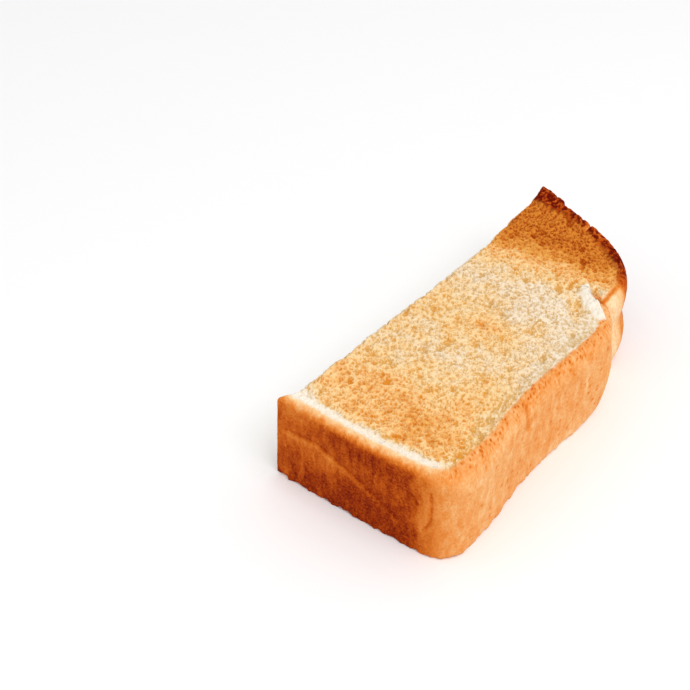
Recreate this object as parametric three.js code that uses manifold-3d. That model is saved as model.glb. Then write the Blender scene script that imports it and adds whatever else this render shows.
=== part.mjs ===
// Toasted half slice of an open-top tin loaf, lying flat on its toasted underside.
//
// The loaf is baked in an open tin, so a slice has a square base and straight sides as far up as
// the tin's rim, a fold where the dough rose over the rim, and a dome above it. The slice is cut
// in two along the loaf's height. This is the half on the right of the cut, in millimetres:
// X runs from the knife cut to the side crust, Y from the bottom crust to the dome, Z is up.
// The origin is the middle of the underside's bounding box.

import * as THREE from 'three';
import { mergeVertices } from 'three/addons/utils/BufferGeometryUtils.js';
import Module from 'manifold-3d';

const wasm = await Module();
wasm.setup();

// Driving dimensions.
const sliceThickness = 30; // a quarter of a 12 cm loaf
const halfWidth = 59.2; // from the knife cut to the side crust, at the base
const tinDepth = 90.5; // from the bottom crust to the fold at the tin's rim
const domeRise = 37.5; // how far the crown of the dome stands above the fold

const crustRollSize = 2.4; // how far the crust draws in at the two toasted faces
const crustRollHeight = 3.2; // how far down from a toasted face the crust starts to draw in

const baseCornerRadius = 9; // between the bottom crust and the side crust
const baseRise = 1.7; // how far the bottom crust lifts from the knife cut to the corner
const sideTuck = 3.2; // how far the side crust draws in above the base
const tuckHeight = 50; // where the side crust is drawn in most
const shoulderSwell = 0.9; // how far the side crust swells again under the fold
const shoulderDrop = 14.5; // from the fold down to the widest point of that swell

const foldDepth = 12; // from the swell of the side crust in to the bottom of the fold
const foldGap = 3; // the width of the fold at its bottom
const lipRadius = 4.6; // the dome's lower lip, where it folds over the tin's rim

const flankRise = 16; // how far the dome's flank carries on upwards before it rolls over
const crownRun = 30; // how far from the knife cut the crown's slope reaches
const crownDrop = 5.5; // how far the crown's slope falls over that run

const knifeHollow = 2.6; // how far the soft crumb draws in between the two ends of the cut
const cutAllowance = 10; // dough beyond the knife cut and around the slice, all of it cut away

const curveSegments = 14;
const rollSegments = 4;
const closestPoints = 0.01; // outline points nearer than this are one point
const weldDistance = 1e-4; // corners of neighbouring triangles nearer than this are one corner

// Places worked out from those dimensions.
const loafHeight = tinDepth + domeRise;
const tuckX = halfWidth - sideTuck;
const shoulderX = tuckX + shoulderSwell;
const shoulderY = tinDepth - shoulderDrop;
const foldX = shoulderX - foldDepth;
const foldRadius = foldGap / 2;
const foldMiddleX = foldX + foldRadius;
const lipX = foldMiddleX + lipRadius;
const lipY = tinDepth + foldRadius + lipRadius;

/** Turns a closed three.js geometry into a solid that can be cut. */
function solidFrom(geometry) {
  const bare = geometry.index ? geometry.toNonIndexed() : geometry.clone();
  bare.deleteAttribute('normal');
  bare.deleteAttribute('uv');
  const merged = mergeVertices(bare, weldDistance);
  return new wasm.Manifold(new wasm.Mesh({
    numProp: 3,
    vertProperties: new Float32Array(merged.attributes.position.array),
    triVerts: new Uint32Array(merged.index.array),
  }));
}

/** Turns a cut solid back into a three.js geometry. */
function geometryFrom(solid) {
  const { vertProperties, triVerts } = solid.getMesh();
  const geometry = new THREE.BufferGeometry();
  geometry.setAttribute('position', new THREE.BufferAttribute(vertProperties, 3));
  geometry.setIndex(new THREE.BufferAttribute(triVerts, 1));
  return geometry;
}

/** The slice's outline at its widest, carried on past the knife cut, which is at x = 0. */
function sliceOutline() {
  const outline = new THREE.Shape();
  const quarter = Math.PI / 2;
  const cornerY = baseRise + baseCornerRadius;

  // The bottom crust, from the knife cut to the rounded corner.
  outline.moveTo(-cutAllowance, 0);
  outline.lineTo(0, 0);
  outline.quadraticCurveTo(
    (halfWidth - baseCornerRadius) / 2, 0,
    halfWidth - baseCornerRadius, baseRise,
  );
  outline.absarc(halfWidth - baseCornerRadius, cornerY, baseCornerRadius, -quarter, 0, false);

  // The side crust: it draws in a little, then swells again below the fold.
  const tuckMiddle = (cornerY + tuckHeight) / 2;
  outline.bezierCurveTo(halfWidth, tuckMiddle, tuckX, tuckMiddle, tuckX, tuckHeight);
  const swellMiddle = (tuckHeight + shoulderY) / 2;
  outline.bezierCurveTo(tuckX, swellMiddle, shoulderX, swellMiddle, shoulderX, shoulderY);

  // Over the shoulder, into the fold, round its bottom and out along the dome's lip.
  outline.absellipse(
    foldMiddleX, shoulderY,
    shoulderX - foldMiddleX, tinDepth - foldRadius - shoulderY,
    0, quarter, false,
  );
  outline.absarc(foldMiddleX, tinDepth, foldRadius, -quarter, quarter, true);
  outline.absarc(foldMiddleX, lipY, lipRadius, -quarter, 0, false);

  // Up the dome's flank and over to the crown, which is at the knife cut.
  outline.bezierCurveTo(
    lipX, lipY + flankRise,
    crownRun, loafHeight - crownDrop,
    0, loafHeight,
  );
  outline.lineTo(-cutAllowance, loafHeight);
  outline.closePath();
  return outline;
}

/** An outline as straight segments, in which points that all but coincide are one. */
function polygonFrom(outline) {
  const points = outline.getPoints(curveSegments);
  return new THREE.Shape(points.filter(
    (point, i) => point.distanceTo(points.at(i - 1)) > closestPoints,
  ));
}

/** Everything on the slice's side of the knife, whose cut is slightly hollow. */
function knifeSide() {
  const side = new THREE.Shape();
  side.moveTo(0, -cutAllowance);
  side.lineTo(halfWidth + cutAllowance, -cutAllowance);
  side.lineTo(halfWidth + cutAllowance, loafHeight + cutAllowance);
  side.lineTo(0, loafHeight + cutAllowance);
  side.lineTo(0, loafHeight);
  // A quadratic curve's middle lies half way out to its control point.
  side.quadraticCurveTo(2 * knifeHollow, loafHeight / 2, 0, 0);
  side.closePath();
  return side;
}

/** The half slice: the outline with its crust rolled in at both faces, cut by the knife. */
function halfSliceGeometry() {
  const whole = new THREE.ExtrudeGeometry(polygonFrom(sliceOutline()), {
    depth: sliceThickness - 2 * crustRollHeight,
    bevelEnabled: true,
    bevelThickness: crustRollHeight,
    bevelSize: crustRollSize,
    bevelOffset: -crustRollSize,
    bevelSegments: rollSegments,
  });
  whole.translate(0, 0, crustRollHeight);

  const knife = new THREE.ExtrudeGeometry(polygonFrom(knifeSide()), {
    depth: sliceThickness + 2 * cutAllowance,
    bevelEnabled: false,
  });
  knife.translate(0, 0, -cutAllowance);

  const geometry = geometryFrom(solidFrom(whole).intersect(solidFrom(knife)));
  geometry.computeBoundingBox();
  const middle = geometry.boundingBox.getCenter(new THREE.Vector3());
  geometry.translate(-middle.x, -middle.y, -geometry.boundingBox.min.z);
  geometry.computeVertexNormals();
  return geometry;
}

const toastedBread = new THREE.MeshStandardMaterial({
  color: 0xe9bd83,
  roughness: 0.9,
  metalness: 0,
});

const toastedHalfSlice = new THREE.Mesh(halfSliceGeometry(), toastedBread);
toastedHalfSlice.name = 'toasted_half_slice';

const object = new THREE.Group();
object.name = 'tin_loaf_half_slice';
object.add(toastedHalfSlice);

export default object;
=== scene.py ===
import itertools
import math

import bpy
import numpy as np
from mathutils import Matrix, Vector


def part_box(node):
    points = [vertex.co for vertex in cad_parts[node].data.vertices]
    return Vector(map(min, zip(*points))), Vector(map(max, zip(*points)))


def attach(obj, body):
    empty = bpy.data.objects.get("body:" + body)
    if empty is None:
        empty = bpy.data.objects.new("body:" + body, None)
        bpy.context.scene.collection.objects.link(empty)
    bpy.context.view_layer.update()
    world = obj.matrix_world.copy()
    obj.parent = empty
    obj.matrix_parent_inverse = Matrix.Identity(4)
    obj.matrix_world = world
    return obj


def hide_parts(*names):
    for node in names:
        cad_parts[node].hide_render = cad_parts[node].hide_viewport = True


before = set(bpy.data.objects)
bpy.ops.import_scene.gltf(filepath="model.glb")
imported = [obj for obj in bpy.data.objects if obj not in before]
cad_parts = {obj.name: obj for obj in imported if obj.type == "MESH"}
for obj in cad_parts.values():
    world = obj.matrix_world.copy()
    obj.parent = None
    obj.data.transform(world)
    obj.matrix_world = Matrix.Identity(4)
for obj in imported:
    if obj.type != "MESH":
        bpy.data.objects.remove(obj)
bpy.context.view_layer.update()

# Toasted half slice of an open-top tin loaf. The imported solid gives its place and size. This
# script grows the baked and toasted surface round it: porous crumb on the toasted faces and on
# the knife cut, thin crust round the outside, and the torn fold where the dough rose over the tin.
#
# Shapes are worked out in the slice's own millimetres: x runs from the knife cut to the side
# crust, y from the bottom crust to the crown, z from the underside to the toasted top.

NODE = "toasted_half_slice"
MM = 0.001

low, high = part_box(NODE)
WIDTH, HEIGHT, THICKNESS = (np.array(high) - np.array(low)) / MM

# The outline, in millimetres.
CORNER_RADIUS = 9.0  # between the bottom crust and the side crust
BASE_RISE = 1.7  # how far the bottom crust lifts from the knife cut to the corner
TUCK_X, TUCK_Y = WIDTH - 3.2, 50.0  # where the side crust has drawn in most
SHOULDER_X, SHOULDER_Y = WIDTH - 2.3, 76.0  # where it has swelled again, under the fold
FOLD_X, FOLD_Y, FOLD_RADIUS = WIDTH - 14.3, 90.5, 0.4  # the bottom of the fold at the tin's rim
FOLD_DRIFT = (-1.2, 1.4)  # how far the fold's bottom has run inwards and up at the toasted top
LIP_RADIUS = 4.6  # the dome's lower lip, where it folds over the tin's rim
FLANK_RISE = 16.0  # how far the dome's flank carries on upwards before it rolls over
CROWN_RUN, CROWN_DROP = 30.0, 5.5  # how far the crown's slope reaches and falls
CAP_CORNER = 0.42  # how far along the dome's curve the top face's fourth corner lies

# A station says how far round the outline a point lies: 0 to 1 along the bottom crust, 1 to 2 up
# the side, 2 to 3 back along the dome, 3 to 4 down the knife cut. The next three tables go by it.

# How the crust rounds over at the top face (in, down) and at the underside (in, up).
ROLLS = np.array([
    (0.00, 2.2, 2.2, 0.7, 1.0),
    (0.80, 2.6, 2.4, 0.7, 1.0),
    (0.95, 4.0, 3.6, 1.0, 1.6),
    (1.05, 5.2, 5.6, 1.3, 2.4),
    (1.20, 4.1, 5.8, 1.5, 2.6),
    (1.50, 3.9, 5.6, 1.6, 3.0),
    (1.60, 4.0, 4.6, 2.8, 6.5),
    (1.665, 2.8, 3.2, 3.4, 8.0),
    (1.70, 1.7, 2.1, 2.6, 6.5),
    (1.74, 0.8, 1.2, 1.4, 3.4),
    (1.77, 2.2, 2.6, 2.6, 6.0),
    (1.80, 3.0, 3.4, 3.2, 8.0),
    (1.86, 2.8, 3.4, 3.2, 8.0),
    (1.95, 1.6, 2.2, 1.8, 3.0),
    (2.10, 1.3, 1.6, 1.0, 1.6),
    (3.00, 1.2, 1.6, 0.9, 1.4),
    (4.00, 2.2, 2.2, 0.7, 1.0),
])

# How dark the crust baked, 0 to 1: the tin's bottom is dark and its sides are pale, the dough
# hidden in the fold is palest, and the open dome is darkest.
BAKED = np.array([
    (0.00, 0.72), (0.60, 0.84), (0.79, 0.80), (0.95, 0.42), (1.10, 0.28), (1.35, 0.32),
    (1.60, 0.30), (1.74, 0.14), (1.81, 0.06), (1.835, 0.20), (1.86, 0.46), (1.95, 0.68),
    (2.15, 0.86), (3.00, 0.98),
])

# Where the crust gives way to crumb on the toasted top, in from the rim. The dome's crust is thick.
CRUST_EDGE = np.array([
    (0.00, 0.1), (0.90, 0.1), (1.05, 0.0), (1.55, 0.2), (1.66, 0.6), (1.72, 0.3),
    (1.80, 0.6), (1.90, 0.8), (2.00, 2.4), (2.69, 2.4), (2.73, 5.2), (3.00, 5.2),
])
UNDER_EDGE = 0.2  # the same at the underside, all the way round
CUT_CRUST = 1.7  # how thick the crust looks at the two ends of the knife cut

# How brown the dome's end of the toasted faces is, by y.
DOME_TOAST = np.array([
    (82, 0.0), (88, 0.12), (97, 0.42), (102, 0.64), (109, 1.0), (120, 1.08),
])

# Patches of toast: how much browner, middle (x, y), spread each way and turn in degrees. The last
# browns the dip beside the tear as painted shade in that hollow.
TOAST_PATCHES = [
    (0.23, (40, 16), (22, 14), 0),
    (0.12, (12, 16), (14, 10), 0),
    (0.12, (28, 59), (9, 5), 0),
    (-0.16, (30, 44), (8, 6), 20),
    (-0.08, (12, 36), (12, 8), 0),
    (-0.25, (36, 78), (19, 14), -20),
    (-0.14, (11, 79), (9, 8), 0),
    (-0.12, (50, 62), (7, 14), 0),
    (-0.30, (45, 95), (4.5, 2.8), 0),
    # Painted shade in the dip beside the tear, drawn as extra toast.
    (0.22, (42, 84.5), (2.2, 5), 25),
]

# Patches of the bottom crust: how much darker, middle (x, z) and spread each way.
BOTTOM_PATCHES = [
    (0.07, (34, 25), (16, 3.5)),
    (-0.09, (17, 15), (16, 5)),
    (-0.16, (6, 27), (9, 3)),
    (-0.12, (49.8, 11.5), (2.2, 4.5)),
    (0.25, (13, 1.6), (1.4, 1.4)),
]

# Creases in the bottom crust, where the dough folded as it rose: the line (x, z), how much darker
# and how wide its colour is (painted shade along the crease), how deep and how wide its groove is.
BOTTOM_CREASES = [
    ([(3, 19), (15, 20.6), (30, 15.5), (43, 9)], 0.10, 0.5, 0.28, 0.55),
    ([(52.2, 24), (52.7, 18), (52.4, 13.5), (51, 10.5)], 0.24, 0.4, 0.40, 0.5),
    ([(46.4, 20.6), (48.5, 18.1)], 0.22, 0.4, 0.30, 0.5),
]
# A painted highlight along the lower bank of the longest crease.
CREASE_HIGHLIGHT = [(4, 17.4), (15, 19), (29, 14), (42, 7.6)]  # under the longest of them

# On the side crust (y, z): one crease, with painted shade along it, and spots by how much darker,
# middle and spread each way.
SIDE_CREASE = [(41.2, 29), (40.0, 26), (40.4, 21.5)]
SIDE_SPOTS = [(0.22, (66.8, 20), (0.8, 1.3)), (0.18, (62.5, 26.4), (0.7, 1.2))]

# Beside the fold on the toasted top (x, y): the torn crest of the shoulder, the groove that
# carries the fold on inwards, the groove's browned far edge, and a dip (middle, spread, turn).
TORN_CREST = [(40.8, 93.2), (44.3, 89.2), (47.6, 87.4), (50.2, 85.8)]
GROOVE = [(41.4, 94.4), (43.0, 92.6), (45.2, 91.2)]
GROOVE_EDGE = [(42.2, 95.2), (43.6, 93.2), (45.8, 92.0)]
DIP = ((42, 84.5), (2.4, 4.5), 25)

# In the dome's dark rim: a crack, and a loose flap from the knife cut as far as FLAP_END, whose
# torn edge runs through y = FLAP_Y at the cut and falls by FLAP_SLOPE.
CRACK_X, CRACK_WIDTH = 23.8, 0.45
FLAP_END, FLAP_Y, FLAP_SLOPE = 11.2, 120.6, 0.09

# The crumb, in millimetres. Bread's finest grain is near half a millimetre, too fine to show, so
# it is drawn as coarse as it has to be.
PIT, BUBBLE = 1.15, 3.0  # small pits everywhere and a few large bubbles, all shaped in the mesh
GRAIN, CELL, STREAK = 0.66, 0.8, 1.7  # in the finish: crumb grain, its cells, crust streaks
DRAG = np.radians(-50)  # the way the bread knife dragged the crumb, from the X axis

# The mesh: cells across the face, up the face and through the thickness.
ACROSS, UPWARD = 124, 268
THROUGH, ROLL_ROWS = 62, 11
FOLD_ROW = 0.72  # the share of the rows that lie below the fold
BAY = (0.64, 0.86)  # between these shares of the rows, the side edge runs in and out of the fold
COARSE = 2  # the underside's cells are this many times as wide
UNDER_INSET = 0.7  # how far the underside's own rim lies in from the wall's

# The ring of points round the outline, by number and by station.
CROWN = 2 * ACROSS + UPWARD  # the number of the crown's point, where the knife cut starts
RING = CROWN + UPWARD
IS_CUT = np.arange(RING) >= CROWN
STATION = np.concatenate([
    run + np.arange(count) / count for run, count in enumerate([ACROSS, UPWARD, ACROSS, UPWARD])
])
WALL_COUNT = (THROUGH + 1) * RING
TOP_COUNT = (UPWARD - 1) * (ACROSS - 1)


# ---------------------------------------------------------------- curves and noise

def ease(start, end, value):
    """0 up to start, 1 from end, and 3t^2 - 2t^3 between them."""
    t = np.clip((value - start) / (end - start), 0, 1)
    return t * t * (3 - 2 * t)


def blob(points, centre, spread, turn=0.0):
    """A soft spot: exp(-r^2), r being the distance from the centre over the spread each way."""
    c, s = math.cos(math.radians(turn)), math.sin(math.radians(turn))
    x, y = points[:, 0] - centre[0], points[:, 1] - centre[1]
    return np.exp(-((c * x + s * y) / spread[0]) ** 2 - ((c * y - s * x) / spread[1]) ** 2)


def bezier(controls, start=0.0, end=1.0, count=160):
    """Bernstein's sum of the control points, for t from start to end."""
    t = np.linspace(start, end, count)[:, None]
    rank = len(controls) - 1
    return sum(
        math.comb(rank, k) * (1 - t) ** (rank - k) * t**k * np.array(point, float)
        for k, point in enumerate(controls)
    )


def ellipse(centre, radii, start, end, count=80):
    """The centre plus (a cos, b sin) of an angle that runs from start to end degrees."""
    angle = np.radians(np.linspace(start, end, count))
    return np.array(centre) + np.array(radii) * np.stack([np.cos(angle), np.sin(angle)], 1)


def distances(path):
    """How far along a path each of its points lies: the running sum of its steps' lengths."""
    return np.concatenate([[0.0], np.cumsum(np.linalg.norm(np.diff(path, axis=0), axis=1))])


def evenly(path, shares):
    """Points on a path at these shares of its length, by linear interpolation along it."""
    along = distances(path)
    at = np.asarray(shares) * along[-1]
    return np.stack([np.interp(at, along, path[:, k]) for k in (0, 1)], 1)


def read_off(table, at):
    """A two-column table read at these places, by linear interpolation."""
    return np.interp(at, table[:, 0], table[:, 1])


def lattice_noise(points, size, seed):
    """Random numbers from -1 to 1 on a cubic lattice, blended inside each cube by 3t^2 - 2t^3."""
    table = np.random.default_rng(seed).random((32, 32, 32)) * 2 - 1
    q = points / size
    cell = np.floor(q).astype(int)
    t = q - cell
    t = t * t * (3 - 2 * t)
    total = np.zeros(len(points))
    for corner in itertools.product((0, 1), repeat=3):
        weight = np.prod(np.where(corner, t, 1 - t), axis=1)
        total += weight * table[tuple(((cell + corner) % 32).T)]
    return total


def rough_noise(points, size, seed, layers=3):
    """Layers of lattice noise, each half as wide and half as strong as the one before, over the
    sum of their strengths."""
    return sum(
        lattice_noise(points, size / 2**k, seed + k) / 2**k for k in range(layers)
    ) / (2 - 2.0 ** (1 - layers))


def bubbles(points, size, seed):
    """Random centres, one to each cube of a lattice: the distances to the nearest and to the
    next nearest, in cubes, and the nearest one's own random number, 0 to 1."""
    rng = np.random.default_rng(seed)
    offset, number = rng.random((24, 24, 24, 3)), rng.random((24, 24, 24))
    q = points / size
    cell = np.floor(q).astype(int)
    first = np.full(len(points), 9.0)
    second = first.copy()
    picked = np.zeros(len(points))
    for step in itertools.product((-1, 0, 1), repeat=3):
        corner = cell + step
        key = tuple((corner % 24).T)
        gap = np.linalg.norm(corner + offset[key] - q, axis=1)
        nearer = gap < first
        second = np.where(nearer, first, np.minimum(second, gap))
        picked = np.where(nearer, number[key], picked)
        first = np.where(nearer, gap, first)
    return first, second, picked


def crease(places, path, width):
    """1 on a line through these points and exp(-(d / width)^2) at the distance d from it."""
    nearest = np.full(len(places), np.inf)
    for start, end in zip(np.array(path[:-1], float), np.array(path[1:], float)):
        run = end - start
        share = np.clip((places - start) @ run / (run @ run), 0, 1)
        away = np.linalg.norm(places - start - share[:, None] * run, axis=1)
        nearest = np.minimum(nearest, away)
    return np.exp(-((nearest / width) ** 2))


# ---------------------------------------------------------------- the slice's outline

def outline_paths():
    """The outline's three curved runs, made of Bezier curves and elliptic arcs: the bottom crust
    to the middle of its corner, then the side, fold, lip and flank, then the crown."""
    corner = (WIDTH - CORNER_RADIUS, BASE_RISE + CORNER_RADIUS)
    corner_radii = (CORNER_RADIUS, CORNER_RADIUS)
    fold_middle = FOLD_X + FOLD_RADIUS
    lip = (fold_middle + LIP_RADIUS, FOLD_Y + FOLD_RADIUS + LIP_RADIUS)
    dome = [
        lip,
        (lip[0], lip[1] + FLANK_RISE),
        (CROWN_RUN, HEIGHT - CROWN_DROP),
        (0, HEIGHT),
    ]
    tuck_middle, swell_middle = (corner[1] + TUCK_Y) / 2, (TUCK_Y + SHOULDER_Y) / 2
    bottom = np.concatenate([
        bezier([(0, 0), (corner[0] / 2, 0), (corner[0], BASE_RISE)]),
        ellipse(corner, corner_radii, -90, -45),
    ])
    side = np.concatenate([
        ellipse(corner, corner_radii, -45, 0),
        bezier([(WIDTH, corner[1]), (WIDTH, tuck_middle), (TUCK_X, tuck_middle),
                (TUCK_X, TUCK_Y)]),
        bezier([(TUCK_X, TUCK_Y), (TUCK_X, swell_middle), (SHOULDER_X, swell_middle),
                (SHOULDER_X, SHOULDER_Y)]),
        ellipse((fold_middle, SHOULDER_Y),
                (SHOULDER_X - fold_middle, FOLD_Y - FOLD_RADIUS - SHOULDER_Y), 0, 90),
        ellipse((fold_middle, FOLD_Y), (FOLD_RADIUS, FOLD_RADIUS), 270, 90, 24),
        ellipse((fold_middle, lip[1]), (LIP_RADIUS, LIP_RADIUS), -90, 0),
        bezier(dome, 0, CAP_CORNER),
    ])
    crown = bezier(dome, CAP_CORNER, 1)
    return bottom, side, crown


def outline_ring():
    """The outline as one closed ring of points, counter-clockwise from the knife cut's foot. Up
    the side and down the cut, FOLD_ROW of the points lie below the fold."""
    bottom, side, crown = outline_paths()
    across = np.linspace(0, 1, ACROSS + 1)[:-1]
    rows = np.linspace(0, 1, UPWARD + 1)
    side_shares = np.interp(rows, [0, FOLD_ROW, 1], [0, tip_share(side), 1])
    cut_y = np.interp(rows, [0, FOLD_ROW, 1], [0, FOLD_Y, HEIGHT])
    cut = np.stack([np.zeros(UPWARD + 1), cut_y], 1)[::-1]
    return np.concatenate([
        evenly(bottom, across),
        evenly(side, side_shares[:-1]),
        evenly(crown, across),
        cut[:-1],
    ])


def tip_share(side):
    """How far along the side's run the bottom of the fold lies, as a share of its length."""
    along = distances(side)
    in_fold = np.abs(side[:, 1] - FOLD_Y) < 2 * FOLD_RADIUS
    tip = np.argmin(np.where(in_fold, side[:, 0], np.inf))
    return along[tip] / along[-1]


def ring_normals(ring):
    """Outward normals of a closed counter-clockwise ring: the line between each point's two
    neighbours, turned a quarter to the right and made unit length."""
    along = np.roll(ring, -1, axis=0) - np.roll(ring, 1, axis=0)
    normal = np.stack([along[:, 1], -along[:, 0]], 1)
    return normal / np.linalg.norm(normal, axis=1, keepdims=True)


# ---------------------------------------------------------------- the plain baked form

def softened(values, passes=40):
    """A ring of values, each averaged with its neighbours this many times."""
    for _ in range(passes):
        values = (np.roll(values, 1) + 2 * values + np.roll(values, -1)) / 4
    return values


def roll_sizes():
    """The four columns of ROLLS, read off at every point of the ring and smoothed."""
    return [softened(np.interp(STATION, ROLLS[:, 0], column)) for column in ROLLS.T[1:]]


def fold_drift(ring, z):
    """How far each point moves in plan to carry the fold's bottom along: FOLD_DRIFT times
    exp(-(d / 1.9)^2), d being the distance from the fold's bottom, easing in with height."""
    distance = np.linalg.norm(ring - np.array([FOLD_X, FOLD_Y]), axis=1)
    share = np.exp(-((distance / 1.9) ** 2)) * ease(12, 27, z)
    return share[..., None] * np.array(FOLD_DRIFT)


def wall_rows(ring):
    """The wall as rows of the ring's points, from the underside's rim to the top's. Each point
    climbs a quarter-ellipse, a straight and a quarter-ellipse, moving in along its own normal.
    The knife cut's points only spread themselves between the crust's two ends."""
    top_in, top_down, under_in, under_up = roll_sizes()
    inward = -ring_normals(ring)
    inward[0], inward[CROWN] = (0, 1), (0, -1)
    bend = np.linspace(0, np.pi / 2, ROLL_ROWS + 1)[:, None]
    under_bend, top_bend = bend[:0:-1], bend[1:]
    straight = THROUGH - 2 * ROLL_ROWS
    share = np.arange(straight + 1)[:, None] / straight
    inset = np.concatenate([
        under_in * (1 - np.cos(under_bend)),
        np.zeros((straight + 1, RING)),
        top_in * (1 - np.cos(top_bend)),
    ])
    z = np.concatenate([
        under_up * (1 - np.sin(under_bend)),
        under_up + share * (THICKNESS - top_down - under_up),
        THICKNESS - top_down * (1 - np.sin(top_bend)),
    ])
    plan = ring + inward * inset[..., None] + fold_drift(ring, z)
    foot, crown = plan[:, :1, 1], plan[:, CROWN : CROWN + 1, 1]
    cut_y = foot + ring[:, 1] / HEIGHT * (crown - foot)
    plan = np.where(IS_CUT[:, None], np.stack([np.zeros_like(z), cut_y], -1), plan)
    return np.concatenate([plan, z[..., None]], -1)


def patch(rim, across, upward):
    """A face stretched over its rim by Coons's blend: the two blends of opposite edges added up,
    less the blend of the four corners. The bay that the fold makes in the side edge is bridged
    first and then put back in proportion to u^2.5, so that it stays local."""
    foot = rim[: across + 1]
    side = rim[across : across + upward + 1]
    head = rim[across + upward : 2 * across + upward + 1][::-1]
    back = np.concatenate([rim[2 * across + upward :], rim[:1]])[::-1]
    u = np.linspace(0, 1, across + 1)[None, :, None]
    v = np.linspace(0, 1, upward + 1)[:, None, None]
    first, last = (int(share * upward) for share in BAY)
    bridge = side.copy()
    bridge[first : last + 1] = np.linspace(side[first], side[last], last + 1 - first)
    return (
        (1 - u) * back[:, None] + u * bridge[:, None] + (1 - v) * foot[None] + v * head[None]
        + u**2.5 * (side - bridge)[:, None]
        - (1 - u) * (1 - v) * foot[0] - u * (1 - v) * foot[-1]
        - (1 - u) * v * head[0] - u * v * head[-1]
    )


def ring_in_grid(across, upward):
    """Row and column in the face's grid of each point of its rim, in the ring's order: along the
    foot, up the side, back along the head and down the cut."""
    i, j = np.arange(across), np.arange(upward)
    row = np.concatenate([0 * i, j, 0 * i + upward, upward - j])
    column = np.concatenate([i, 0 * j + across, across - i, 0 * j])
    return row, column


def cells(index):
    """The four corners of each cell in a grid of vertex numbers, counter-clockwise."""
    corners = [index[:-1, :-1], index[:-1, 1:], index[1:, 1:], index[1:, :-1]]
    return np.stack(corners, -1).reshape(-1, 4)


def plain_form():
    """The slice's closed form with no relief: its points, its four-cornered faces (wall, top face
    and a coarser underside) and the strip of triangles that joins the underside to the wall."""
    wall = wall_rows(outline_ring())
    top = patch(wall[-1], ACROSS, UPWARD)
    index_top = np.zeros((UPWARD + 1, ACROSS + 1), int)
    index_top[1:-1, 1:-1] = WALL_COUNT + np.arange(TOP_COUNT).reshape(UPWARD - 1, ACROSS - 1)
    index_top[ring_in_grid(ACROSS, UPWARD)] = WALL_COUNT - RING + np.arange(RING)

    under_rim = wall[0, ::COARSE].copy()
    under_rim[:, :2] -= UNDER_INSET * ring_normals(wall[0, :, :2])[::COARSE]
    under = patch(under_rim, ACROSS // COARSE, UPWARD // COARSE)
    index_under = WALL_COUNT + TOP_COUNT + np.arange(under[..., 0].size).reshape(under.shape[:2])

    round_wall = np.arange(WALL_COUNT).reshape(-1, RING)
    squares = np.concatenate([
        cells(np.concatenate([round_wall, round_wall[:, :1]], 1)),
        cells(index_top),
        cells(index_under)[:, ::-1],
    ])
    coarse = index_under[ring_in_grid(ACROSS // COARSE, UPWARD // COARSE)]
    next_coarse = np.roll(coarse, -1)
    fine = np.arange(0, RING, COARSE)
    middle, after = fine + 1, (fine + COARSE) % RING
    strip = np.concatenate([
        np.stack([fine, coarse, middle], 1),
        np.stack([coarse, next_coarse, middle], 1),
        np.stack([next_coarse, after, middle], 1),
    ])
    points = np.concatenate([
        wall.reshape(-1, 3), top[1:-1, 1:-1].reshape(-1, 3), under.reshape(-1, 3)
    ])
    return points, squares, strip


def knife_hollow(points):
    """How far the cut stands in from x = 0. The soft crumb drew in under the knife, most at the
    toasted top, and the crust at the two ends did not: a lean that grows with height and eases
    off at both ends, and two rounded edges, fading out across the slice as (1 - x / 18)^2."""
    x, y, z = points.T
    along = ease(-2, 6, y) * (1 - 0.75 * ease(88, 124, y)) * (1 - ease(121, 127, y))
    upward = z / THICKNESS
    lean = 0.9 * upward + (0.8 + 2.4 * upward) * along
    edge = 1.1 * ease(1.6, 0, THICKNESS - z) ** 2 + 0.8 * ease(1.4, 0, z) ** 2
    return (lean + edge * (0.5 + 0.5 * along)) * np.clip(1 - x / 18, 0, 1) ** 2


def fold_closing(points):
    """How far y moves to close the fold's mouth. Both of its sides draw towards the fold's middle
    by up to 0.8 of their distance from it, between its bottom and 9.5 mm out, most at the top."""
    x, y, z = points.T
    away = y - FOLD_Y
    out = ease(FOLD_X + 0.1, FOLD_X + 1.4, x) * ease(FOLD_X + 9.5, FOLD_X + 4, x)
    return -away * 0.8 * out * (0.4 + 0.6 * ease(13, 26, z)) * ease(9, 1.2, np.abs(away))


def vertex_normals(points, *meshes):
    """The cross product of each face's diagonals (of a triangle's two sides), summed at its
    corners and made unit length."""
    total = np.zeros_like(points)
    for faces in meshes:
        cross = np.cross(points[faces[:, 2]] - points[faces[:, 0]],
                         points[faces[:, -1]] - points[faces[:, 1]])
        for corner in faces.T:
            np.add.at(total, corner, cross)
    return total / np.linalg.norm(total, axis=1, keepdims=True)


def nearest_on_rim(points, rim):
    """For each point, the distance in plan to the nearest of the rim's baked points, and the
    station of that point. It works through them in 40 lots, to keep the arrays small."""
    baked = rim[~IS_CUT, :2]
    gap, place = [], []
    for some in np.array_split(points[:, :2], 40):
        square = ((some[:, None] - baked[None]) ** 2).sum(2)
        nearest = square.argmin(1)
        gap.append(np.sqrt(square[np.arange(len(some)), nearest]))
        place.append(STATION[~IS_CUT][nearest])
    return np.concatenate(gap), np.concatenate(place)


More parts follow.
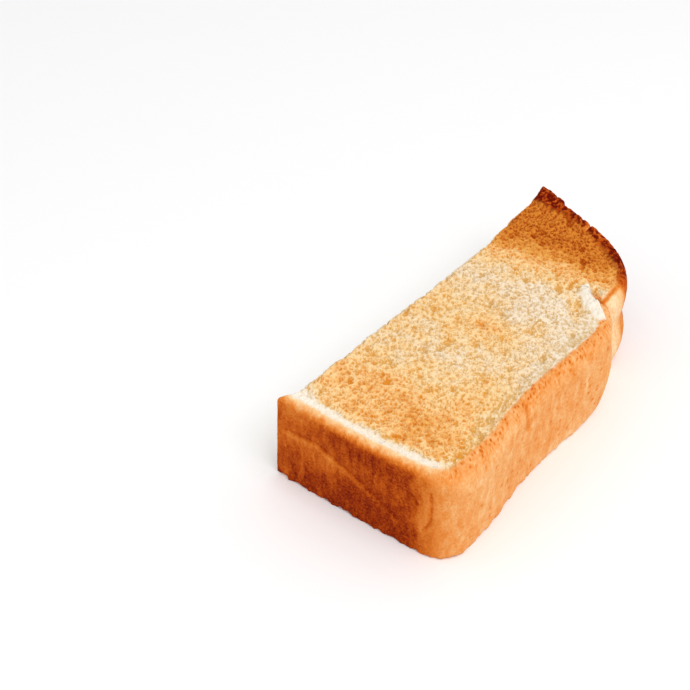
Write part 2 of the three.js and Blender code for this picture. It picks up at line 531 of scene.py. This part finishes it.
def where_on_slice(points):
    """For every vertex: its station, how far it lies in from the rim of the baked crust (less
    than 0 on the crust, down the wall from its nearer rim), and whether it is on the knife cut,
    where it counts from the nearer end of the cut instead."""
    wall = points[:WALL_COUNT].reshape(-1, RING, 3)
    step = np.linalg.norm(np.diff(wall, axis=0), axis=2)
    none = np.zeros((1, RING))
    from_top = np.concatenate([np.cumsum(step[::-1], axis=0)[::-1], none])
    from_under = np.concatenate([none, np.cumsum(step, axis=0)])
    ends = np.minimum(wall[..., 1], HEIGHT - wall[..., 1]) - CUT_CRUST
    on_wall = np.where(IS_CUT, ends, -np.minimum(from_top, from_under)).ravel()
    top, under = points[WALL_COUNT : WALL_COUNT + TOP_COUNT], points[WALL_COUNT + TOP_COUNT :]
    (in_top, station_top), (in_under, station_under) = (
        nearest_on_rim(top, wall[-1]), nearest_on_rim(under, wall[0])
    )
    station = np.concatenate([np.tile(STATION, len(wall)), station_top, station_under])
    inward = np.concatenate([on_wall, in_top, in_under])
    on_cut = np.arange(len(points)) < WALL_COUNT
    on_cut[:WALL_COUNT] = np.tile(IS_CUT, len(wall))
    return station, inward, on_cut


form, squares, strip = plain_form()
form[:, 1] += fold_closing(form)
form[:, 0] += knife_hollow(form)
normal = vertex_normals(form, strip, squares)
X, Y, Z = form.T
PLAN, FRONT, SIDE = form[:, :2], form[:, [0, 2]], form[:, 1:]

# Where each vertex lies. The shares after the first line run from 0 to 1.
station, inward, on_cut = where_on_slice(form)
on_bottom = ease(1.06, 0.86, station) * (station < 1.5) * ~on_cut
on_side = ease(0.9, 1.08, station) * ease(1.76, 1.72, station) * ~on_cut
on_dome = ease(1.76, 1.8, station) * (station < 3) * ~on_cut
far_dome = on_dome * ease(1.82, 1.92, station)
burnt = on_dome * ease(1.9, 2.0, station)
near_top = ease(17, 25, Z)
upper_half = Z > THICKNESS / 2


# ---------------------------------------------------------------- crumb, crust and their colours

def toast_map():
    """How brown the toasted faces are: 0.44, the toast patches, 0.62 times the dome's end, whose
    border leans and wanders, and two noises; less at the edges by the bottom and side crusts and
    at the corner by the cut, which slope away from the heat. The cut was made after toasting, so
    its crumb is white but for 1.7 mm next to the toasted faces."""
    flat = form * [1, 1, 0.3]
    patches = sum(
        more * blob(form, middle, spread, turn) for more, middle, spread, turn in TOAST_PATCHES
    )
    lean = 0.12 * np.clip(30 - X, -20, 25)
    end = read_off(DOME_TOAST, Y + lean + 3.0 * rough_noise(flat, 8, 31, 4))
    patchy = 0.07 * rough_noise(flat, 10, 11) + 0.17 * rough_noise(flat, 3.2, 17, 3)
    on_top = 0.44 + patches + 0.62 * end + patchy
    pale_edge = on_bottom * ease(4.8, 1.4, inward + 1.4 * rough_noise(form, 3, 101, 3))
    on_top -= (on_top - 0.12) * pale_edge * 0.9
    on_top -= 0.2 * blob(form, (3, 5), (9, 5))
    on_top -= on_side * 0.16 * ease(6.5, 1.5, inward + 1.2 * rough_noise(form, 3, 102, 2))
    edge = np.minimum(Z, THICKNESS - Z) + 0.5 * rough_noise(form, 1.8, 103, 2)
    white = 0.04 + 0.05 * rough_noise(form, 6, 104) + (on_top - 0.1) * ease(1.7, 0.3, edge)
    return np.where(on_cut, white, on_top)


def bottom_marks(bake, streak):
    """How much darker the bottom crust is, with its patches and streaks, painted shade along its
    creases and a painted highlight on the bank under the longest. It is darkest near the underside."""
    patches = sum(more * blob(FRONT, middle, spread) for more, middle, spread in BOTTOM_PATCHES)
    # Painted shade along the creases, and a painted highlight on the bank under the longest.
    crease_shade = sum(more * crease(FRONT, path, width) for path, more, width, _, _ in BOTTOM_CREASES)
    return (
        0.12 * ease(20, 6, Z) + patches + crease_shade - 0.10 * crease(FRONT, CREASE_HIGHLIGHT, 0.9)
        + 0.09 * streak * ease(0, 0.3, bake - 0.4)
    )


def side_marks():
    """How much darker the side crust is: painted shade along one crease, two spots, a little noise,
    a paler foot beneath the shoulder, and small round freckles, crowded where it meets the toasted
    face."""
    near, _, number = bubbles(form, 1.9, 107)
    freckles = 0.26 * ease(0.36, 0.14, near) * ease(0.72, 0.8, number)
    near, _, number = bubbles(form, 0.95, 108)
    border = ease(-5.0, -1.6, inward) * ease(1.4, -0.2, inward) * upper_half
    crowded = border * (0.05 + 0.42 * ease(0.5, 0.2, near) * ease(0.25, 0.45, number))
    spots = sum(more * blob(SIDE, middle, spread) for more, middle, spread in SIDE_SPOTS)
    return (
        # The crease's darkening is painted shade.
        0.16 * crease(SIDE, SIDE_CREASE, 0.8) + spots + freckles + crowded
        + 0.04 * rough_noise(form * [1, 1, 0.5], 1.7, 57, 3)
        - 0.10 * ease(7, 1, Z) * ease(38, 56, Y)
    )


def bake_map():
    """How dark the crust baked: BAKED, with the bottom's marks and the dome's dark upper edge,
    paling to 0.1 within 4 mm of the crumb except at the bottom's top edge, then two noises and
    the side's marks."""
    bake = np.where(on_cut, np.where(Y > HEIGHT / 2, 0.92, 0.72), read_off(BAKED, station))
    streak = rough_noise(form * [1, 1, 0.16], 1.0, 105, 2)
    bake += on_bottom * bottom_marks(bake, streak)
    bake += on_dome * 0.34 * ease(19, 28, Z) * ease(1.83, 1.88, station) * ease(2.2, 2.0, station)
    away = ease(0.2, -4.2, inward + 1.1 * streak)
    away = 1 - (1 - away) * on_bottom * upper_half
    bake = 0.10 + (bake - 0.10) * away
    bake += 0.05 * rough_noise(form, 7, 51) + 0.09 * rough_noise(form * [1, 1, 0.5], 1.7, 57, 3)
    return bake + on_side * side_marks()


def crust_share():
    """1 on crust and 0 on crumb, easing over 1 to 2 mm across the crust's edge, which two noises
    make ragged, most on the dome."""
    edge = np.where(upper_half, read_off(CRUST_EDGE, station), UNDER_EDGE)
    edge = np.where(on_cut, 0, edge)
    ragged = (0.45 + 0.7 * far_dome) * rough_noise(form, 1.9, 41, 3)
    ragged += (0.25 + 0.5 * far_dome) * rough_noise(form, 0.8, 42, 2)
    return ease(0.5 + 0.7 * far_dome, -0.4 - 0.7 * far_dome, inward - edge + ragged)


def torn_crumb():
    """How torn the crumb is, 0 to 1: a crease along the shoulder's crest, 1.3 times as strong,
    roughened by noise and cut off along the fold."""
    tear = crease(PLAN, TORN_CREST, 2.2) * near_top
    tear = np.clip(1.3 * tear + 0.35 * rough_noise(form, 1.5, 99, 2) * tear, 0, 1)
    return tear * (1 - on_dome) * ease(0.3, -0.3, Y - 93.9 + 0.85 * (X - 41.6))


def baked_and_toasted(tear):
    """The shares of crust, bake and toast at every vertex, with the fold's own: the tear is
    white crumb, the dome's lower lip is golden crust that laps 2 mm over the toasted face, the
    groove's far edge is browner, and the mouth of the fold is darkened with painted shade."""
    crust, bake, toast = crust_share(), bake_map(), toast_map()
    crust = crust * (1 - ease(0.25, 0.6, tear))
    toast = toast * (1 - 0.95 * ease(0.2, 0.6, tear))
    lip = ease(1.725, 1.755, station) * ease(1.88, 1.84, station) * ease(-1.2, -0.2, inward)
    lip = lip * ease(2.0, 0.2, inward + 0.7 * rough_noise(form, 1.2, 94, 2)) * near_top
    crust = np.maximum(crust, lip)
    bake = bake + lip * (0.22 + 0.34 * ease(1.4, 0.1, inward) - bake)
    toast = toast + 0.42 * crease(PLAN, GROOVE_EDGE, 0.55) * near_top * (1 - tear)
    # Painted shade in the mouth of the fold, on its crust, most towards the top.
    fold_mouth_shade = ease(1.69, 1.705, station) * ease(1.775, 1.76, station) * ease(0.2, -1.2, inward)
    bake = bake + 0.20 * fold_mouth_shade * ease(8, 24, Z)
    return crust, bake, toast


# ---------------------------------------------------------------- relief

def open_crumb(grain):
    """How far the crumb's surface moves out where the knife opened its bubbles, and how deep in a
    pore it lies, about 0 to 1. Pits go in, large bubbles go further, and the walls between them
    stand up. The centres are warped, and spread out along the way the knife dragged."""
    way, over = X * np.cos(DRAG) + Y * np.sin(DRAG), Y * np.cos(DRAG) - X * np.sin(DRAG)
    places = np.stack([0.68 * way, over, 0.75 * Z], 1)
    bent = places + 0.45 * np.stack([rough_noise(places, 1.9, seed, 2) for seed in (62, 63, 64)], 1)
    first, second, _ = bubbles(bent, PIT, 61)
    wide, _, number = bubbles(bent, BUBBLE, 66)
    pit, wall = ease(0.62, 0.12, first), ease(0.2, 0.0, second - first)
    hole = ease(0.46, 0.18, wide) * ease(0.55, 0.72, number)
    face_move = -0.32 * pit - 0.5 * hole + 0.16 * wall + 0.16 * grain
    cut_move = -0.42 * pit - 0.75 * hole + 0.16 * wall + 0.45 * rough_noise(form, 5, 73)
    pore = np.clip(0.26 + 0.5 * pit + 0.65 * hole - 0.45 * wall - 0.4 * grain, -0.3, 1)
    return np.where(on_cut, cut_move, face_move), pore


def pressed_and_torn(pore, tear, grain):
    """The pores, closed in the tear, a little more open beside the side crust, and pressed smooth
    beside the bottom crust."""
    pore = pore - (pore + 0.5) * ease(0.2, 0.6, tear)
    pore = pore + 0.28 * on_side * ease(6, 1.5, inward) * upper_half
    smooth = on_bottom * ease(3.0, 1.0, inward + 0.5 * grain)
    return pore * (1 - smooth) - 0.9 * smooth


def crust_skin(flake):
    """How far the crust's surface moves out. All of it is uneven; the side has wrinkles that run
    through the thickness and a crease, and bellies out below the fold; the dome is covered with
    flakes, and its flank has a bulge low down and a waist above it; the bottom has creases; and
    the lower edge of bottom and side is rough."""
    belly = np.exp(-(((Z - 15) / 8) ** 2)) * ease(1.5, 1.6, station) * ease(1.72, 1.67, station)
    bulge, waist = np.exp(-(((Z - 10.5) / 4.5) ** 2)), np.exp(-(((Z - 19) / 3.5) ** 2))
    wrinkle = rough_noise(form * [1, 1, 0.3], 2.0, 81, 3)
    low_edge = ease(2.2, 0.3, Z) * rough_noise(form * [1, 1, 0.4], 1.2, 91, 3)
    grooves = sum(deep * crease(FRONT, path, width) for path, _, _, deep, width in BOTTOM_CREASES)
    return (
        0.06 * rough_noise(form, 0.9, 89, 2) + 0.10 * rough_noise(form, 8, 90, 2)
        + on_side * (0.34 * wrinkle - 0.6 * crease(SIDE, SIDE_CREASE, 1.1))
        + 1.3 * belly
        + on_dome * ease(1.88, 2.0, station) * (0.30 - 0.55 * ease(0.55, 0.2, flake))
        + on_dome * ease(2.05, 1.9, station) * (0.9 * bulge - 0.6 * waist)
        - on_bottom * grooves + (on_bottom + on_side) * 0.75 * low_edge
    )


def ragged_rim(upper):
    """How far the dome's dark crust stands up and out at its ragged rim, which has one crack and a
    loose flap at the cut, and how much darker those are."""
    rim = ease(1.9, 2.03, station) * (station < 3.2)
    rim = rim * np.exp(-(((inward - 0.3) / 1.7) ** 2)) * upper**4
    past_edge = Y - FLAP_Y + FLAP_SLOPE * X
    flap = ease(0.4, -0.4, X - FLAP_END) * ease(-0.3, 0.3, past_edge) * ease(0.8, 0.97, upper)
    crack = np.exp(-(((X - CRACK_X) / CRACK_WIDTH) ** 2))
    crack = crack * ease(114, 117, Y) * ease(0.8, 0.95, upper)
    up = rim * (0.45 + 0.7 * np.abs(rough_noise(form, 2.4, 97, 2))) + 0.8 * flap - crack
    darker = flap * (0.06 + 0.08 * rough_noise(form, 1.5, 98)) - 0.4 * crack
    return up, 0.4 * rim + 0.5 * flap, darker


def relief_and_marks():
    """The finished points, and what the finish reads at each: crumb and crust each move along the
    normal by their share; then the top face waves, its edges crumble, the dome's rim and the tear
    stand up, and the groove and the dip beside the tear go down."""
    tear = torn_crumb()
    crust, bake, toast = baked_and_toasted(tear)
    grain = rough_noise(form, 0.95, 71, 2)
    flake, _, _ = bubbles(form + 0.4 * grain[:, None], 1.25, 83)
    bake = bake + on_dome * ease(1.84, 1.9, station) * (0.30 * ease(0.6, 0.2, flake) - 0.14)
    bake = bake + burnt * (0.30 * rough_noise(form, 0.8, 88, 2) + 0.04)
    bake = np.minimum(bake, 0.90 + 0.12 * burnt)

    upper = Z / THICKNESS
    crumb_move, pore = open_crumb(grain)
    move = (1 - crust) * crumb_move + crust * crust_skin(flake)
    crumbly = np.exp(-((inward / 0.9) ** 2)) * (1 - on_bottom) * (0.2 + 0.15 * far_dome)
    move += crumbly * rough_noise(form, 1.3, 95, 2) + 0.35 * tear * rough_noise(form, 1.6, 96, 2)
    moved = form + normal * move[:, None]

    rim_up, rim_out, darker = ragged_rim(upper)
    groove = crease(PLAN, GROOVE, 0.75) * near_top
    moved[:, 1] += rim_out
    moved[:, 2] += (
        upper**3 * 0.35 * rough_noise(form * [1, 1, 0], 16, 93, 2) + rim_up
        + 1.1 * tear * (1 - groove) - 1.5 * groove * upper**4
        - 0.8 * blob(form, *DIP) * upper**6
    )
    moved[:, 2] = np.maximum(moved[:, 2], 0)
    pore = pressed_and_torn(pore, tear, grain)
    return moved, {"crust": crust, "bake": bake + darker, "toast": toast, "pore": pore}


# ---------------------------------------------------------------- finishes

def linear(code):
    """An sRGB hex colour as the linear red, green and blue that the shaders take."""
    parts = [int(code[k : k + 2], 16) / 255 for k in (0, 2, 4)]
    return [c / 12.92 if c <= 0.04045 else ((c + 0.055) / 1.055) ** 2.4 for c in parts] + [1.0]


def add(tree, kind, inputs, output=0, stops=(), **settings):
    """Adds a node with these settings, fills or links its inputs by name or number, puts the
    (place, sRGB hex) stops on its colour scale if there are any, and returns one output."""
    made = tree.nodes.new(kind)
    for key, value in settings.items():
        setattr(made, key, value)
    for key, value in inputs.items():
        if isinstance(value, bpy.types.NodeSocket):
            tree.links.new(value, made.inputs[key])
        else:
            made.inputs[key].default_value = value
    if stops:
        scale = made.color_ramp.elements
        while len(scale) < len(stops):
            scale.new(0.5)
        for element, (place, code) in zip(scale, stops):
            element.position = place
            element.color = linear(code)
    return made.outputs[output]


def toasted_white_bread():
    """White bread: crumb that was toasted, inside the crust that a greased tin gave it.

    Dry crumb is matt and open. Its ridges go from cream through gold to brown as they toast, and
    its pores are a shade or two deeper, partly from toast and partly as painted shade inside them.
    The crust is a thin dry skin with next to no gloss, peach where the tin kept it pale and dark
    brown where the open oven reached it, a little streaky through the slice's thickness. Four marks
    on the vertices say where each of these is."""
    material = bpy.data.materials.new("toasted_white_bread")
    material.use_nodes = True
    tree = material.node_tree
    shader = tree.nodes["Principled BSDF"]
    maths = "ShaderNodeMath"
    place = add(tree, "ShaderNodeTexCoord", {}, "Object")
    crust, bake, toast, pore = (
        add(tree, "ShaderNodeAttribute", {}, "Fac", attribute_name=name)
        for name in ("crust", "bake", "toast", "pore")
    )

    # Grain drawn out along the knife's drag, like the pits in the mesh, and its net of cells.
    dragged = add(
        tree, "ShaderNodeMapping",
        {"Vector": place, "Rotation": (0, 0, DRAG), "Scale": (1.9, 1, 1)}, vector_type="TEXTURE",
    )
    fine = add(tree, "ShaderNodeTexNoise", {
        "Vector": dragged, "Scale": 1 / (GRAIN * MM), "Detail": 2.0, "Roughness": 0.75,
        "Distortion": 0.5,
    }, "Fac")
    grain = add(tree, maths, {0: fine, 1: 0.5}, operation="SUBTRACT")
    net = add(tree, "ShaderNodeTexVoronoi", {"Vector": dragged, "Scale": 1 / (CELL * MM)},
              "Distance", feature="DISTANCE_TO_EDGE")
    inside = add(tree, maths, {0: net, 1: 2.4, 2: -0.36}, operation="MULTIPLY_ADD")

    # Streaks through the thickness, with a hair crack where a streak crosses its own middle.
    drawn = add(tree, "ShaderNodeVectorMath", {0: place, 1: (1, 1, 0.4)}, operation="MULTIPLY")
    streaky = add(tree, "ShaderNodeTexNoise", {
        "Vector": drawn, "Scale": 1 / (STREAK * MM), "Detail": 4.0, "Roughness": 0.65,
        "Distortion": 0.4,
    }, "Fac")
    streak = add(tree, maths, {0: streaky, 1: 0.5}, operation="SUBTRACT")
    from_middle = add(tree, maths, {0: streak}, operation="ABSOLUTE")
    crack = add(tree, maths, {0: from_middle, 1: -20.0, 2: 1.0}, operation="MULTIPLY_ADD",
                use_clamp=True)

    # Crumb: how toasted it is picks the colour of its ridges and of its pores. The pore colours are
    # deeper partly from toast and partly as painted shade in the pores; on the white cut crumb the
    # difference is all painted shade.
    toasted = add(tree, maths, {0: grain, 1: 0.55, 2: toast}, operation="MULTIPLY_ADD")
    ridge = add(tree, "ShaderNodeValToRGB", {"Fac": toasted}, "Color", stops=[
        (0.0, "faf0e0"), (0.2, "f6e7d2"), (0.45, "f9daa6"), (0.6, "fbd194"), (0.8, "eead55"),
        (1.0, "dc862e"),
    ])
    pit = add(tree, "ShaderNodeValToRGB", {"Fac": toasted}, "Color", stops=[
        (0.0, "e4c9a0"), (0.2, "d1a96c"), (0.45, "dd9d43"), (0.6, "de861f"), (0.8, "c96610"),
        (1.0, "a13d02"),
    ])
    # How much of the pore colour: painted shade in the pits, the cells' insides and the low grain.
    deep = add(tree, maths, {0: inside, 1: 0.5, 2: pore}, operation="MULTIPLY_ADD")
    deep = add(tree, maths, {0: grain, 1: -3.0, 2: deep}, operation="MULTIPLY_ADD")
    deep = add(tree, maths, {0: deep, 1: 0.16}, operation="ADD", use_clamp=True)
    crumb_colour = add(tree, "ShaderNodeMix", {0: deep, 6: ridge, 7: pit}, 2, data_type="RGBA")

    # Crust: how dark it baked, a little uneven.
    baked = bake
    for source, share in ((grain, 0.45), (streak, 0.26), (crack, 0.03)):
        baked = add(tree, maths, {0: source, 1: share, 2: baked}, operation="MULTIPLY_ADD")
    crust_colour = add(tree, "ShaderNodeValToRGB", {"Fac": baked}, "Color", stops=[
        (0.0, "fae0b6"), (0.15, "f6c58e"), (0.3, "efaa68"), (0.45, "e78e42"), (0.6, "da7728"),
        (0.75, "c35810"), (0.9, "9a3302"), (1.0, "6b0f01"),
    ])
    colour = add(tree, "ShaderNodeMix", {0: crust, 6: crumb_colour, 7: crust_colour}, 2,
                 data_type="RGBA")

    # The same grain, cells and streaks roughen the surface by up to a third of a millimetre.
    crumb_height = add(tree, maths, {0: inside, 1: -0.5, 2: fine}, operation="MULTIPLY_ADD")
    streak_height = add(tree, maths, {0: streak, 1: 1.6}, operation="MULTIPLY")
    crust_height = add(tree, maths, {0: grain, 1: 1.1, 2: streak_height},
                       operation="MULTIPLY_ADD")
    height = add(tree, "ShaderNodeMix", {0: crust, 2: crumb_height, 3: crust_height})
    bump = add(tree, "ShaderNodeBump", {"Strength": 0.8, "Distance": 0.32 * MM, "Height": height})

    tree.links.new(colour, shader.inputs["Base Color"])
    tree.links.new(bump, shader.inputs["Normal"])
    shader.inputs["Roughness"].default_value = 0.8
    shader.inputs["Specular IOR Level"].default_value = 0.05
    return material


def build_slice():
    """Puts the slice into a mesh, in metres and in the solid's place, with its marks."""
    points, marks = relief_and_marks()
    mesh = bpy.data.meshes.new("half_slice")
    mesh.from_pydata((points * MM + np.array(low)).tolist(), [], squares.tolist() + strip.tolist())
    mesh.polygons.foreach_set("use_smooth", np.ones(len(mesh.polygons), bool))
    for name, values in marks.items():
        layer = mesh.attributes.new(name, "FLOAT", "POINT")
        layer.data.foreach_set("value", values.astype(np.float32))
    mesh.materials.append(toasted_white_bread())
    mesh.update()
    piece = bpy.data.objects.new("half_slice", mesh)
    bpy.context.collection.objects.link(piece)
    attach(piece, "root")
    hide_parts(NODE)


# ---------------------------------------------------------------- floor, light and camera

def pale_floor():
    """A wide matt white card under the slice."""
    mesh = bpy.data.meshes.new("floor")
    mesh.from_pydata([(-3, -3, 0), (3, -3, 0), (3, 3, 0), (-3, 3, 0)], [], [(0, 1, 2, 3)])
    material = bpy.data.materials.new("white_card")
    material.use_nodes = True
    shader = material.node_tree.nodes["Principled BSDF"]
    shader.inputs["Base Color"].default_value = linear("f8f8f8")
    shader.inputs["Roughness"].default_value = 0.9
    mesh.materials.append(material)
    floor = bpy.data.objects.new("floor", mesh)
    bpy.context.collection.objects.link(floor)


def studio_light():
    """Soft daylight from all round, and a large square lamp above the side crust."""
    world = bpy.data.worlds.new("studio")
    bpy.context.scene.world = world
    world.use_nodes = True
    sky = world.node_tree.nodes["Background"]
    sky.inputs["Color"].default_value = (1, 1, 1, 1)
    sky.inputs["Strength"].default_value = 0.78
    lamp = bpy.data.lights.new("key", "AREA")
    lamp.size = 0.6
    lamp.energy = 4.2
    key = bpy.data.objects.new("key", lamp)
    key.location = (0.45, -0.15, 0.85)
    key.rotation_euler = key.location.to_track_quat("Z", "Y").to_euler()
    bpy.context.collection.objects.link(key)


def take_view():
    """The camera, 45 cm away, turned to the near corner and looking down at the floor beside the
    knife cut, where the slice's other half would lie."""
    azimuth, elevation, distance = math.radians(39.8), math.radians(40.3), 0.45
    look_at = Vector((low[0] - 20.87 * MM, low[1] + 55.22 * MM, 0))
    back = Vector((
        math.sin(azimuth) * math.cos(elevation),
        -math.cos(azimuth) * math.cos(elevation),
        math.sin(elevation),
    ))
    camera = bpy.data.objects.new("camera", bpy.data.cameras.new("camera"))
    camera.data.lens = 74.85
    camera.data.sensor_width = 36
    camera.data.clip_start = 0.01
    camera.location = look_at + back * distance
    camera.rotation_euler = back.to_track_quat("Z", "Y").to_euler()
    bpy.context.collection.objects.link(camera)
    bpy.context.scene.camera = camera
    bpy.context.scene.view_settings.view_transform = "Standard"


build_slice()
pale_floor()
studio_light()
take_view()
